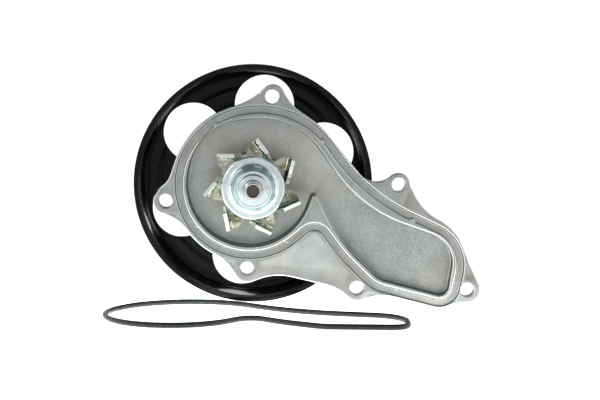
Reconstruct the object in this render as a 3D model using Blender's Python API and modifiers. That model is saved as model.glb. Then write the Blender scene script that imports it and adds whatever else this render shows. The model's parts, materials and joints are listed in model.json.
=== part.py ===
"""Engine coolant pump with a belt pulley, a stamped impeller and its loose seal ring.

Shapes are worked out in millimetres and turned into metres when a mesh is made.
X is right, Z is up and Y runs along the shaft. Y = 0 is the face that bolts to the engine,
which lies on the -Y side; the pulley is on the +Y side. The origin is on the shaft's axis.
"""
import math

import bmesh
import bpy
from mathutils import Matrix, Vector

MM = 0.001

# Bolt ears of the housing: hole centres (x, z) and the way each raised pad runs to the land, degrees
EARS = (
    (9.6, 44.2, -90.0),
    (-43.2, -7.2, 0.0),
    (-3.1, -41.0, 90.0),
    (51.6, -51.0, 50.0),
    (106.7, -52.1, 180.0),
    (72.2, 0.6, -115.0),
)
HOLE_RADIUS = 3.5
PAD_RADIUS = 6.5
PAD_LENGTH = 9.0
BOSS_RADIUS = 6.0
BOSS_BACK = 8.0

# Closed outlines are circles (x, z, radius) joined by common tangents, anticlockwise as seen
# from the engine. A negative radius bends the outline inwards.
LOBE_TIP = (83.6, -38.6, 15.7)
LOBE_TOP = (100.2, 49.6, -73.0)
VOLUTE_TOP = (3.3, -2.8, 36.4)
VOLUTE_LEFT = (-3.7, 4.3, 28.4)
VOLUTE_LOW = (-1.8, 0.7, 31.1)
TONGUE = (30.4, -6.1, -1.5)
LOBE_LOW = (106.5, 18.8, 78.0)
LOBE_HEEL = (69.4, -33.9, 14.4)
LOBE_TOE = (92.6, -49.8, 5.0)
CAVITY = (LOBE_TIP, LOBE_TOP, VOLUTE_TOP, VOLUTE_LEFT, VOLUTE_LOW, TONGUE, LOBE_LOW, LOBE_HEEL, LOBE_TOE)
GROOVE_OFFSET = 3.85
GROOVE_TIP = (82.7, -40.0, 16.7)
GROOVE_RUN = (120.6, 73.4, -102.0)
GROOVE_TOP = (3.1, -5.2, 39.3)
GROOVE_LEFT = (0.7, 1.9, 31.9)
GROOVE_BEND = (30.2, -27.5, -11.0)
TRACK = (
    GROOVE_TIP, GROOVE_RUN, GROOVE_TOP, GROOVE_LEFT, VOLUTE_LOW, GROOVE_BEND, LOBE_LOW, LOBE_HEEL, LOBE_TOE
)

FLANGE = (
    (106.7, -52.2, 6.6),
    (81.2, -39.6, 25.0),
    (106.2, 8.1, -28.8),
    (72.5, 0.8, 5.4),
    (61.2, 13.1, -11.0),
    (3.7, -2.0, 43.3),
    (31.4, 50.4, -15.5),
    (10.0, 44.3, 6.0),
    (-17.3, 70.0, -31.4),
    (0.7, -0.8, 41.4),
    (-54.5, 11.1, -14.7),
    (-43.2, -7.6, 6.2),
    (-50.0, -34.3, -21.1),
    (-2.3, -0.7, 37.2),
    (-30.5, -54.7, -23.7),
    (-3.1, -41.5, 6.6),
    (12.5, -71.9, -27.3),
    (29.0, -74.8, -26.3),
    (51.8, -50.9, 6.7),
    (64.6, -79.7, -24.6),
    (93.0, -51.1, 10.0),
    (101.5, -68.2, -8.8),
)
FLANGE_BACK = 5.0
EDGE_BREAK = 0.4
WEB_DROP = 0.8
WEB_SPAN = (220.0, 2.0, 200.0)
WEB_CENTRE_X = 30.0
LAND_OFFSET = GROOVE_OFFSET + 4.2

GROOVE_HALF = 1.87
GROOVE_DEPTH = 2.2
NIBS = ((-17.8, 30.3), (33.9, 22.0), (78.9, -17.4), (16.5, -27.0), (71.0, -51.1), (-27.9, -19.1))
NIB_RADIUS = 1.1

# The cavity's floor is level under the impeller and rises towards the lobe's far end: (x, depth)
FLOOR = ((18.0, 14.5), (50.0, 9.0), (104.0, 6.5))
CAVITY_DRAFT = 1.2
CAVITY_FILLET = 2.2
SHELL_WALL = 3.4
SHELL_DRAFT = 0.8
SHELL_ROUND = 1.5

NOSE_RADIUS = 17.5
NOSE_FOOT_RADIUS = 21.0
NOSE_BACK = 45.5
RIB_ANGLES = (35.0, 125.0, 215.0, 305.0)
RIB_THICKNESS = 3.6
RIB_ROOT = 15.0
RIB_REACH = 30.0
RIB_FOOT_Y = 16.5
RIB_TIP_Y = 19.0
RIB_TOP_Y = NOSE_BACK - 6.0
WEEP_Y = 20.8
WEEP_RADIUS = 2.0
WEEP_LENGTH = 16.0
WEEP_Z = -17.0
PLUG_RADIUS = 1.9
PLUG_LENGTH = 2.4
PLUG_Z = -18.6

# Shaft, bearing and face seal
SHAFT_RADIUS = 6.0
SHAFT_BACK = 54.4
SHAFT_GAP = 0.04
NECK_RADIUS = 4.6
NECK_BACK = -1.4
NECK_FRONT = -22.0
TAPER_RADIUS = 3.9
SHAFT_FRONT = -28.5
RECESS_RADIUS = 3.1
RECESS_DEPTH = 1.5
RING_RADIUS = 13.0
RING_INNER = 9.8
RING_FRONT = 22.3
RING_BACK = 45.8
RING_STEP = 11.6
RING_CHAMFER = 0.6
BALL_RADIUS = 2.25
BALL_PITCH = 7.9
BALL_COUNT = 7
BALL_ROWS = (("front", 28.5), ("rear", 39.5))
TRACK_RADIUS = 2.38
TRACK_HALF = 37.0
CAGE_RADII = (7.0, 9.3)
CAGE_HALF = 3.1
POCKET_RADIUS = 2.45
SEAL_BORE = 15.0
SEAL_FLOOR_Y = 19.6
NECK_BORE = 11.5
BORE_FLOOR_Y = 22.2
SPRING_RADIUS = 12.6
SPRING_WIRE = 0.45
SPRING_FRONT = 11.5
SPRING_LENGTH = 6.0
SPRING_TURNS = 3
SPRING_STEPS = 16

# Impeller
VANES = 7
VANE_TIP = 24.5
VANE_ROOT = 18.3
VANE_SWEEP = 22.0
VANE_PHASE = 84.5
SHEET = 1.6
PLATE_FRONT = -3.7
VANE_FRONT = -13.0
RIM_INSET = 0.6
PETAL = ((21.0, 11.5), (18.3, 14.0), (15.3, 15.5), (15.4, 22.5))

# Pulley
PULLEY_RADIUS = 60.0
LIP_FRONT = 15.0
WEB_FRONT = 42.5
WEB_HOLES = 6
WEB_HOLE_RADIUS = 15.3
WEB_HOLE_PITCH = 39.5
WEB_HOLE_PHASE = 21.3
DISH_BACK = 53.0
SHEET_PULLEY = 2.5
BOLTS = 4
BOLT_PITCH = 14.2
BOLT_PHASE = 45.0
BOLT_RADIUS = 2.8
BOLT_FRONT = 46.9
BOLT_FLANGE = 4.9
HEXAGON_RADIUS = 4.6
HEAD_HEIGHT = 5.0
HUB_RADIUS = 18.0
HUB_FRONT = 46.6
HUB_BACK = 54.2
PILOT_RADIUS = 9.0

# Loose seal ring: moulded a little under the groove's size, and where its frame lies on the floor
FLOOR_Z = -61.1
CORD_RADIUS = 1.35
CORD_SIDES = 8
CORD_OFFSET = 2.9
RING_PLACE = (-35.5, -22.5)
RING_YAW = 9.35

ANGLE_STEP = math.radians(11.0)
ARC_STEP = 6.5


def polar(radius, degrees):
    """A point (x, z) on a circle round the shaft."""
    angle = math.radians(degrees)
    return radius * math.cos(angle), radius * math.sin(angle)


def outline(circles, offset=0.0):
    """Points (x, z) of a closed outline of circles joined by tangents, grown by offset."""
    headings = []
    for here, ahead in zip(circles, circles[1:] + circles[:1]):
        dx = ahead[0] - here[0]
        dz = ahead[1] - here[1]
        lean = math.asin((ahead[2] - here[2]) / math.hypot(dx, dz))
        headings.append(math.atan2(dz, dx) - lean)
    points = []
    for index, (x, z, radius) in enumerate(circles):
        start = headings[index - 1]
        turn = math.copysign(1.0, radius)
        sweep = ((headings[index] - start) * turn) % math.tau
        steps = math.ceil(max(sweep / ANGLE_STEP, sweep * abs(radius) / ARC_STEP))
        for step in range(steps + 1):
            heading = start + turn * sweep * step / steps
            reach = radius + offset
            points.append((x + reach * math.sin(heading), z - reach * math.cos(heading)))
    return points


def floor_depth(x):
    """Depth of the cavity's floor at a given x."""
    if x <= FLOOR[0][0]:
        return FLOOR[0][1]
    for (x0, depth0), (x1, depth1) in zip(FLOOR, FLOOR[1:]):
        if x <= x1:
            return depth0 + (depth1 - depth0) * (x - x0) / (x1 - x0)
    return FLOOR[-1][1]


def clockwise(profile):
    """Order (radius, y) points so that turning them makes faces that look outwards."""
    area = sum(a[0] * b[1] - b[0] * a[1] for a, b in zip(profile, profile[1:] + profile[:1]))
    return profile if area < 0.0 else profile[::-1]


def material(name, colour, roughness, metallic):
    """A plain Principled material."""
    result = bpy.data.materials.new(name)
    result.use_nodes = True
    shader = result.node_tree.nodes["Principled BSDF"]
    shader.inputs["Base Color"].default_value = (*colour, 1.0)
    shader.inputs["Roughness"].default_value = roughness
    shader.inputs["Metallic"].default_value = metallic
    result.diffuse_color = (*colour, 1.0)
    return result


class Shop:
    """Holds the collections and materials, and makes objects in them."""

    def __init__(self):
        self.parts = bpy.data.collections.new("water_pump")
        self.cutters = bpy.data.collections.new("water_pump_cutters")
        for group in (self.parts, self.cutters):
            bpy.context.scene.collection.children.link(group)
        self.cast = material("cast_aluminium", (0.42, 0.43, 0.41), 0.45, 0.9)
        self.steel = material("ground_steel", (0.55, 0.56, 0.57), 0.25, 1.0)
        self.zinc = material("bright_zinc", (0.75, 0.8, 0.84), 0.2, 1.0)
        self.yellow = material("yellow_zinc", (0.5, 0.47, 0.33), 0.3, 1.0)
        self.black = material("black_paint", (0.012, 0.012, 0.012), 0.25, 0.0)
        self.rubber = material("black_rubber", (0.03, 0.035, 0.033), 0.6, 0.0)
        self.carbon = material("carbon", (0.05, 0.05, 0.055), 0.4, 0.0)
        self.ceramic = material("ceramic", (0.75, 0.72, 0.66), 0.35, 0.0)
        self.polymer = material("cage_polymer", (0.22, 0.14, 0.07), 0.5, 0.0)

    def add(self, name, bm, skin=None, smooth=True):
        """Make an object from a bmesh in millimetres. Without a skin it is a cutter."""
        bmesh.ops.scale(bm, vec=(MM, MM, MM), verts=bm.verts)
        for face in bm.faces:
            face.smooth = smooth
        mesh = bpy.data.meshes.new(name)
        bm.to_mesh(mesh)
        bm.free()
        obj = bpy.data.objects.new(name, mesh)
        if skin is None:
            self.cutters.objects.link(obj)
            obj.hide_render = True
            obj.display_type = "WIRE"
        else:
            self.parts.objects.link(obj)
            mesh.materials.append(skin)
        return obj

    def turned(self, name, profile, steps, skin=None, closed=True):
        """Turn a profile of (radius, y) points round the shaft's axis with a Screw modifier."""
        bm = bmesh.new()
        verts = [bm.verts.new((radius, y, 0.0)) for radius, y in clockwise(profile)]
        for start, end in zip(verts, verts[1:]):
            bm.edges.new((start, end))
        if closed:
            bm.edges.new((verts[-1], verts[0]))
        obj = self.add(name, bm, skin)
        screw = obj.modifiers.new("turn", "SCREW")
        screw.axis = "Y"
        screw.angle = math.tau
        screw.steps = steps
        screw.render_steps = steps
        screw.use_merge_vertices = True
        screw.merge_threshold = 0.00001
        screw.use_smooth_shade = True
        return obj


def cut(target, tool, operation="DIFFERENCE"):
    """Add an exact Boolean to a part."""
    modifier = target.modifiers.new(tool.name, "BOOLEAN")
    modifier.operation = operation
    modifier.solver = "EXACT"
    modifier.object = tool


def loft(bm, rings, closed=False):
    """Skin rings of equal length. An open stack gets a flat cap at each end."""
    rows = [[bm.verts.new(point) for point in ring] for ring in rings]
    pairs = list(zip(rows, rows[1:]))
    if closed:
        pairs.append((rows[-1], rows[0]))
    for low, high in pairs:
        for index in range(len(low)):
            follow = (index + 1) % len(low)
            bm.faces.new((low[index], low[follow], high[follow], high[index]))
    if not closed:
        bm.faces.new(rows[0])
        bm.faces.new(rows[-1])
    bmesh.ops.recalc_face_normals(bm, faces=bm.faces)


def slab(bm, circles, layers):
    """Loft an outline along Y. Each layer is (offset, y)."""
    loft(bm, [[(x, y, z) for x, z in outline(circles, offset)] for offset, y in layers])


def cylinder(bm, radius, centre, y0, y1, segments=24):
    """A cylinder along Y."""
    place = Matrix.Translation((centre[0], (y0 + y1) / 2, centre[1])) @ Matrix.Rotation(math.pi / 2, 4, "X")
    bmesh.ops.create_cone(
        bm, cap_ends=True, segments=segments, radius1=radius, radius2=radius, depth=y1 - y0, matrix=place
    )


def follow_floor(bm, extra):
    """Bend a stack drawn with its bottom at depth 1 so that it follows the cavity's sloping floor."""
    for x, _ in FLOOR[:-1]:
        whole = list(bm.verts) + list(bm.edges) + list(bm.faces)
        bmesh.ops.bisect_plane(bm, geom=whole, plane_co=(x, 0, 0), plane_no=(1, 0, 0))
    for vert in bm.verts:
        if vert.co.y > FLANGE_BACK:
            vert.co.y += floor_depth(vert.co.x) - FLOOR[0][1] + extra


def cavity_cutter(shop):
    """The pocket that the impeller runs in, with draft and a rounded floor edge."""
    depth = FLOOR[0][1]
    layers = [(EDGE_BREAK, -1.0), (EDGE_BREAK, 0.0), (0.0, EDGE_BREAK)]
    for degrees in (0.0, 30.0, 60.0, 90.0):
        angle = math.radians(degrees)
        offset = -CAVITY_DRAFT - CAVITY_FILLET * (1.0 - math.cos(angle))
        layers.append((offset, depth - CAVITY_FILLET * (1.0 - math.sin(angle))))
    bm = bmesh.new()
    slab(bm, CAVITY, layers)
    follow_floor(bm, 0.0)
    return shop.add("cavity", bm)


def groove_cutter(shop):
    """The seal groove, narrowed by small nibs that hold the ring in place."""
    bm = bmesh.new()
    half = GROOVE_HALF
    corners = ((-half, -1.0), (half, -1.0), (half, GROOVE_DEPTH), (-half, GROOVE_DEPTH))
    rings = [[(x, y, z) for x, z in outline(TRACK, GROOVE_OFFSET + side)] for side, y in corners]
    loft(bm, rings, closed=True)
    groove = shop.add("groove", bm)
    bm = bmesh.new()
    for nib in NIBS:
        cylinder(bm, NIB_RADIUS, nib, 0.3, GROOVE_DEPTH + 1.0, 12)
    cut(groove, shop.add("groove_nibs", bm))
    return groove


def web_cutter(shop):
    """Lowers the flange's face everywhere but on the land and the bolt pads."""
    bm = bmesh.new()
    bmesh.ops.create_cube(bm, size=1.0)
    bmesh.ops.scale(bm, vec=WEB_SPAN, verts=bm.verts)
    bmesh.ops.translate(bm, vec=(WEB_CENTRE_X, WEB_DROP - WEB_SPAN[1] / 2, 0.0), verts=bm.verts)
    web = shop.add("web_panels", bm)
    bm = bmesh.new()
    slab(bm, TRACK, ((LAND_OFFSET, -2.0), (LAND_OFFSET, 2.0)))
    cut(web, shop.add("land", bm))
    bm = bmesh.new()
    for x, z, degrees in EARS:
        dx, dz = polar(PAD_LENGTH, degrees)
        ends = ((x, z, PAD_RADIUS), (x + dx, z + dz, PAD_RADIUS))
        slab(bm, ends, ((0.0, -1.9), (0.0, 1.9)))
    cut(web, shop.add("bolt_pads", bm))
    return web


def ribs(shop):
    """Webs between the nose and the back of the shell."""
    bm = bmesh.new()
    half = RIB_THICKNESS / 2
    for degrees in RIB_ANGLES:
        corners = (
            (RIB_ROOT, RIB_FOOT_Y), (RIB_REACH, RIB_FOOT_Y), (RIB_REACH, RIB_TIP_Y), (RIB_ROOT, RIB_TOP_Y)
        )
        rings = [[(radius, y, side) for radius, y in corners] for side in (-half, half)]
        rib = bmesh.new()
        loft(rib, rings)
        bmesh.ops.rotate(rib, matrix=Matrix.Rotation(math.radians(degrees), 3, "Y"), verts=rib.verts)
        spare = bpy.data.meshes.new("rib")
        rib.to_mesh(spare)
        rib.free()
        bm.from_mesh(spare)
        bpy.data.meshes.remove(spare)
    return shop.add("ribs", bm)


def pump_housing(shop):
    """Die-cast body: flange, volute and lobe shell, nose, bores, groove and bolt holes."""
    bm = bmesh.new()
    edge = EDGE_BREAK
    slab(bm, FLANGE, ((-edge, 0.0), (0.0, edge), (0.0, FLANGE_BACK - edge), (-edge, FLANGE_BACK)))
    housing = shop.add("pump_housing", bm, shop.cast)

    bm = bmesh.new()
    back = FLOOR[0][1]
    start = GROOVE_OFFSET - SHELL_DRAFT
    slab(bm, TRACK, ((GROOVE_OFFSET, 3.0), (start, back - SHELL_ROUND), (start - SHELL_ROUND, back)))
    follow_floor(bm, SHELL_WALL)
    cut(housing, shop.add("shell", bm), "UNION")

    bm = bmesh.new()
    for x, z, _ in EARS:
        cylinder(bm, BOSS_RADIUS, (x, z), 3.0, BOSS_BACK, 24)
    cut(housing, shop.add("bolt_bosses", bm), "UNION")

    nose = ((0.0, NOSE_BACK), (NOSE_RADIUS - 0.8, NOSE_BACK), (NOSE_RADIUS, NOSE_BACK - 0.8),
            (NOSE_FOOT_RADIUS, 19.0), (NOSE_FOOT_RADIUS + 2.0, 15.5), (0.0, 15.5))
    cut(housing, shop.turned("nose", nose, 36, closed=False), "UNION")
    cut(housing, ribs(shop), "UNION")

    cut(housing, cavity_cutter(shop))
    cut(housing, groove_cutter(shop))
    cut(housing, web_cutter(shop))
    bm = bmesh.new()
    for x, z, _ in EARS:
        cylinder(bm, HOLE_RADIUS, (x, z), -2.0, BOSS_BACK + 2.0, 24)
    cut(housing, shop.add("bolt_holes", bm))
    bore = RING_RADIUS + SHAFT_GAP
    steps = ((0.0, NOSE_BACK + 1.0), (bore, NOSE_BACK + 1.0), (bore, BORE_FLOOR_Y), (NECK_BORE, BORE_FLOOR_Y),
             (NECK_BORE, SEAL_FLOOR_Y), (SEAL_BORE, SEAL_FLOOR_Y), (SEAL_BORE, 12.0), (0.0, 12.0))
    cut(housing, shop.turned("bores", steps, 32, closed=False))
    bm = bmesh.new()
    bmesh.ops.create_cone(
        bm, cap_ends=True, segments=20, radius1=WEEP_RADIUS, radius2=WEEP_RADIUS, depth=WEEP_LENGTH,
        matrix=Matrix.Translation((0.0, WEEP_Y, WEEP_Z)),
    )
    cut(housing, shop.add("weep_hole", bm))


def weep_plug(shop):
    """Small disc in the mouth of the weep hole."""
    bm = bmesh.new()
    bmesh.ops.create_cone(
        bm, cap_ends=True, segments=20, radius1=PLUG_RADIUS, radius2=PLUG_RADIUS, depth=PLUG_LENGTH,
        matrix=Matrix.Translation((0.0, WEEP_Y, PLUG_Z)),
    )
    shop.add("weep_hole_plug", bm, shop.zinc)


def track_arc(centre_y, radius_at, outward):
    """Profile points of a ball track, from the +Y shoulder to the -Y shoulder."""
    points = []
    for degrees in (TRACK_HALF, TRACK_HALF / 3, -TRACK_HALF / 3, -TRACK_HALF):
        angle = math.radians(degrees)
        reach = outward * TRACK_RADIUS * math.cos(angle)
        points.append((radius_at + reach, centre_y + TRACK_RADIUS * math.sin(angle)))
    return points


def pump_shaft(shop):
    """Shaft with both inner ball tracks, a stepped neck for the impeller and a dished end."""
    tracks = []
    for _, y in reversed(BALL_ROWS):
        tracks += track_arc(y, BALL_PITCH, -1.0)
    profile = [(0.0, SHAFT_BACK), (SHAFT_RADIUS - 0.8, SHAFT_BACK), (SHAFT_RADIUS, SHAFT_BACK - 0.8)] + tracks
    profile += [(SHAFT_RADIUS, NECK_BACK), (NECK_RADIUS, NECK_BACK - 0.5), (NECK_RADIUS, NECK_FRONT)]
    profile += [(TAPER_RADIUS, SHAFT_FRONT + 0.3), (TAPER_RADIUS - 0.3, SHAFT_FRONT)]
    profile += [(RECESS_RADIUS + 0.1, SHAFT_FRONT + 0.2), (RECESS_RADIUS, SHAFT_FRONT + RECESS_DEPTH)]
    profile += [(0.0, SHAFT_FRONT + RECESS_DEPTH)]
    shop.turned("pump_shaft", profile, 28, shop.steel, closed=False)


def bearing(shop):
    """Outer ring, two rows of balls with their cages, and the two end seals."""
    inner = []
    for _, y in BALL_ROWS:
        inner += reversed(track_arc(y, BALL_PITCH, 1.0))
    edge = RING_CHAMFER
    seal_depth = 1.6
    profile = [(RING_RADIUS, RING_BACK - edge), (RING_RADIUS, RING_FRONT + edge)]
    profile += [(RING_RADIUS - edge, RING_FRONT), (RING_STEP, RING_FRONT)]
    profile += [(RING_STEP, RING_FRONT + seal_depth), (RING_INNER, RING_FRONT + seal_depth)] + inner
    profile += [(RING_INNER, RING_BACK - seal_depth)]
    profile += [(RING_STEP, RING_BACK - seal_depth), (RING_STEP, RING_BACK)]
    profile += [(RING_RADIUS - edge, RING_BACK)]
    shop.turned("bearing_outer_ring", profile, 32, shop.steel)

    rim = RING_STEP - 0.1
    lip = SHAFT_RADIUS + 0.1
    for name, y0 in (("front", RING_FRONT + 0.3), ("rear", RING_BACK - 1.5)):
        seal = ((rim, y0 + 1.2), (rim, y0), (lip, y0), (lip, y0 + 0.5), (8.5, y0 + 1.2))
        shop.turned("bearing_seal_" + name, seal, 24, shop.rubber)

    for name, y in BALL_ROWS:
        inner_radius, outer_radius = CAGE_RADII
        wall = ((outer_radius, y + CAGE_HALF), (outer_radius, y - CAGE_HALF),
                (inner_radius, y - CAGE_HALF), (inner_radius, y + CAGE_HALF))
        cage = shop.turned("ball_cage_" + name, wall, 28, shop.polymer)
        pockets = bmesh.new()
        for index in range(BALL_COUNT):
            degrees = 360.0 * index / BALL_COUNT
            x, z = polar(BALL_PITCH, degrees)
            aim = Vector((x, 0.0, z)).to_track_quat("Z", "Y").to_matrix().to_4x4()
            bmesh.ops.create_cone(
                pockets, cap_ends=True, segments=12, radius1=POCKET_RADIUS, radius2=POCKET_RADIUS,
                depth=5.0, matrix=Matrix.Translation((x, y, z)) @ aim,
            )
            ball = bmesh.new()
            bmesh.ops.create_uvsphere(ball, u_segments=10, v_segments=6, radius=BALL_RADIUS)
            obj = shop.add(f"ball_{name}_{index + 1}", ball, shop.steel)
            obj.location = Vector((x, y, z)) * MM
        cut(cage, shop.add("pockets_" + name, pockets))


def mechanical_seal(shop):
    """Face seal: case pressed in the housing, bellows, spring, carbon ring and turning mating ring."""
    case = ((17.0, 14.2), (14.9, 14.2), (14.9, 19.3), (8.0, 19.3), (8.0, 18.4), (14.0, 18.4),
            (14.0, 13.3), (17.0, 13.3))
    shop.turned("seal_case", case, 28, shop.steel)
    bellows = ((9.9, 6.5), (9.9, 8.7), (11.5, 10.3), (9.6, 12.2), (11.6, 14.4), (11.8, 18.1),
               (10.8, 18.1), (10.6, 15.0), (8.6, 12.2), (10.2, 10.3), (8.8, 8.7), (8.8, 6.5))
    shop.turned("seal_bellows", bellows, 24, shop.rubber)
    shop.turned("seal_carbon_ring", ((10.4, 6.3), (10.4, 2.9), (7.6, 2.9), (7.6, 6.3)), 24, shop.carbon)
    shop.turned("seal_mating_ring", ((11.2, 2.8), (11.2, -1.2), (6.1, -1.2), (6.1, 2.8)), 24, shop.ceramic)

    wire = bpy.data.curves.new("seal_spring", "CURVE")
    wire.dimensions = "3D"
    wire.bevel_depth = SPRING_WIRE * MM
    wire.bevel_resolution = 1
    wire.use_fill_caps = True
    count = SPRING_TURNS * SPRING_STEPS + 1
    spline = wire.splines.new("POLY")
    spline.points.add(count - 1)
    for index in range(count):
        x, z = polar(SPRING_RADIUS, 360.0 * index / SPRING_STEPS)
        y = SPRING_FRONT + SPRING_LENGTH * index / (count - 1)
        spline.points[index].co = (x * MM, y * MM, z * MM, 1.0)
    spring = bpy.data.objects.new("seal_spring", wire)
    wire.materials.append(shop.steel)
    shop.parts.objects.link(spring)


def impeller(shop):
    """Stamped plate of petals with upturned vanes, and the pressed hub that holds it."""
    bm = bmesh.new()
    rim = []
    for index in range(VANES):
        phase = VANE_PHASE + 360.0 * index / VANES
        rim.append(polar(VANE_ROOT - RIM_INSET, phase - VANE_SWEEP + 1.0))
        rim.append(polar(VANE_TIP - RIM_INSET, phase))
        rim += [polar(radius, phase + degrees) for radius, degrees in PETAL]
    loft(bm, [[(x, y, z) for x, z in rim] for y in (PLATE_FRONT, PLATE_FRONT + SHEET)])
    plate = shop.add("impeller_vane_plate", bm, shop.yellow, smooth=False)

    bm = bmesh.new()
    for index in range(VANES):
        phase = VANE_PHASE + 360.0 * index / VANES
        tip = Vector(polar(VANE_TIP, phase))
        root = Vector(polar(VANE_ROOT, phase - VANE_SWEEP))
        across = (tip - root).orthogonal().normalized() * SHEET
        foot = [root, tip, tip + across, root + across]
        loft(bm, [[(p.x, y, p.y) for p in foot] for y in (VANE_FRONT, PLATE_FRONT + SHEET - 0.2)])
    cut(plate, shop.add("vanes", bm, smooth=False), "UNION")
    bm = bmesh.new()
    cylinder(bm, NECK_RADIUS + 0.1, (0.0, 0.0), -8.0, 2.0, 36)
    cut(plate, shop.add("plate_bore", bm))

    hub = ((15.4, -4.0), (15.6, -10.4), (15.2, -11.4), (14.3, -11.9), (13.3, -11.9), (12.3, -11.4),
           (9.3, -18.0), (8.9, -18.9), (8.2, -19.3), (7.5, -19.2), (7.1, -19.8), (6.6, -20.4),
           (4.7, -20.8), (4.7, -6.0), (7.4, -6.0), (10.2, -9.9), (13.6, -9.9), (14.0, -4.0))
    shop.turned("impeller_hub_cup", hub, 40, shop.zinc)


def pulley(shop):
    """Pressed-steel cup with a dished centre and six round holes in its web."""
    back = WEB_FRONT + SHEET_PULLEY
    dish = DISH_BACK - SHEET_PULLEY
    rim = PULLEY_RADIUS
    profile = ((PILOT_RADIUS + 0.1, DISH_BACK), (20.6, DISH_BACK), (21.4, DISH_BACK - 0.6), (23.8, back),
               (47.0, back), (48.5, back - 1.5), (57.3, back - 1.5), (59.2, back - 2.6), (rim, back - 4.2),
               (rim, back - 5.4), (rim - 1.0, back - 6.4), (rim - 1.0, LIP_FRONT + 3.0),
               (rim, LIP_FRONT + 2.0), (rim, LIP_FRONT + 0.3), (rim - 0.3, LIP_FRONT),
               (rim - 2.3, LIP_FRONT), (rim - 2.7, LIP_FRONT + 0.5), (rim - 3.1, WEB_FRONT - 5.0),
               (rim - 4.2, WEB_FRONT - 2.4), (rim - 6.5, WEB_FRONT - 1.5), (49.0, WEB_FRONT - 1.5),
               (47.4, WEB_FRONT), (21.3, WEB_FRONT), (18.9, dish), (PILOT_RADIUS + 0.1, dish))
    cup = shop.turned("pulley", profile, 56, shop.black)
    bm = bmesh.new()
    for index in range(WEB_HOLES):
        centre = polar(WEB_HOLE_PITCH, WEB_HOLE_PHASE + 360.0 * index / WEB_HOLES)
        cylinder(bm, WEB_HOLE_RADIUS, centre, WEB_FRONT - 4.0, back + 2.0, 28)
    for index in range(BOLTS):
        centre = polar(BOLT_PITCH, BOLT_PHASE + 360.0 * index / BOLTS)
        cylinder(bm, BOLT_RADIUS + 0.4, centre, dish - 1.5, DISH_BACK + 2.0, 16)
    cut(cup, shop.add("pulley_holes", bm))

    bore = SHAFT_RADIUS + SHAFT_GAP
    seat = ((HUB_RADIUS, dish - 0.3), (HUB_RADIUS, HUB_FRONT), (bore, HUB_FRONT), (bore, HUB_BACK),
            (PILOT_RADIUS, HUB_BACK), (PILOT_RADIUS, dish - 0.3))
    hub = shop.turned("pulley_hub", seat, 32, shop.steel)
    bm = bmesh.new()
    for index in range(BOLTS):
        centre = polar(BOLT_PITCH, BOLT_PHASE + 360.0 * index / BOLTS)
        cylinder(bm, BOLT_RADIUS + 0.2, centre, HUB_FRONT - 1.5, HUB_BACK + 1.0, 16)
    cut(hub, shop.add("hub_holes", bm))

    for index in range(BOLTS):
        centre = polar(BOLT_PITCH, BOLT_PHASE + 360.0 * index / BOLTS)
        name = f"pulley_bolt_{index + 1}"
        head = DISH_BACK + 0.1
        shank = ((0.0, head + 1.1), (BOLT_FLANGE, head + 1.1), (BOLT_FLANGE, head), (BOLT_RADIUS, head),
                 (BOLT_RADIUS, BOLT_FRONT + 0.4), (BOLT_RADIUS - 0.4, BOLT_FRONT), (0.0, BOLT_FRONT))
        bolt = shop.turned(name, shank, 16, shop.steel, closed=False)
        bolt.location = Vector((centre[0], 0.0, centre[1])) * MM
        bm = bmesh.new()
        cylinder(bm, HEXAGON_RADIUS, (0.0, 0.0), head + 0.5, head + HEAD_HEIGHT, 6)
        hexagon = shop.add(name + "_head", bm)
        hexagon.location = bolt.location
        cut(bolt, hexagon, "UNION")


def seal_ring(shop):
    """Moulded ring of the groove's outline, lying on the floor in front of the pump."""
    bm = bmesh.new()
    rings = []
    for step in range(CORD_SIDES):
        angle = math.tau * step / CORD_SIDES
        side = CORD_OFFSET + CORD_RADIUS * math.cos(angle)
        height = CORD_RADIUS * math.sin(angle)
        rings.append([(x, height, z) for x, z in outline(TRACK, side)])
    loft(bm, rings, closed=True)
    ring = shop.add("housing_seal_ring", bm, shop.rubber)
    ring.rotation_euler = (-math.pi / 2, 0.0, math.radians(RING_YAW))
    ring.location = Vector((*RING_PLACE, FLOOR_Z + CORD_RADIUS)) * MM


def main():
    for obj in list(bpy.data.objects):
        bpy.data.objects.remove(obj, do_unlink=True)
    shop = Shop()
    pump_housing(shop)
    weep_plug(shop)
    bearing(shop)
    mechanical_seal(shop)
    pump_shaft(shop)
    impeller(shop)
    pulley(shop)
    seal_ring(shop)


main()
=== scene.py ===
"""Looks of an engine coolant pump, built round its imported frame.

Shapes are worked out in millimetres and turned into metres when a mesh is made. X is right, Z is up
and Y runs along the shaft, away from the engine. Y = 0 is the face that bolts to the engine.
"""
import json
import math

import bmesh
import bpy
from mathutils import Matrix, Vector


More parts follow.
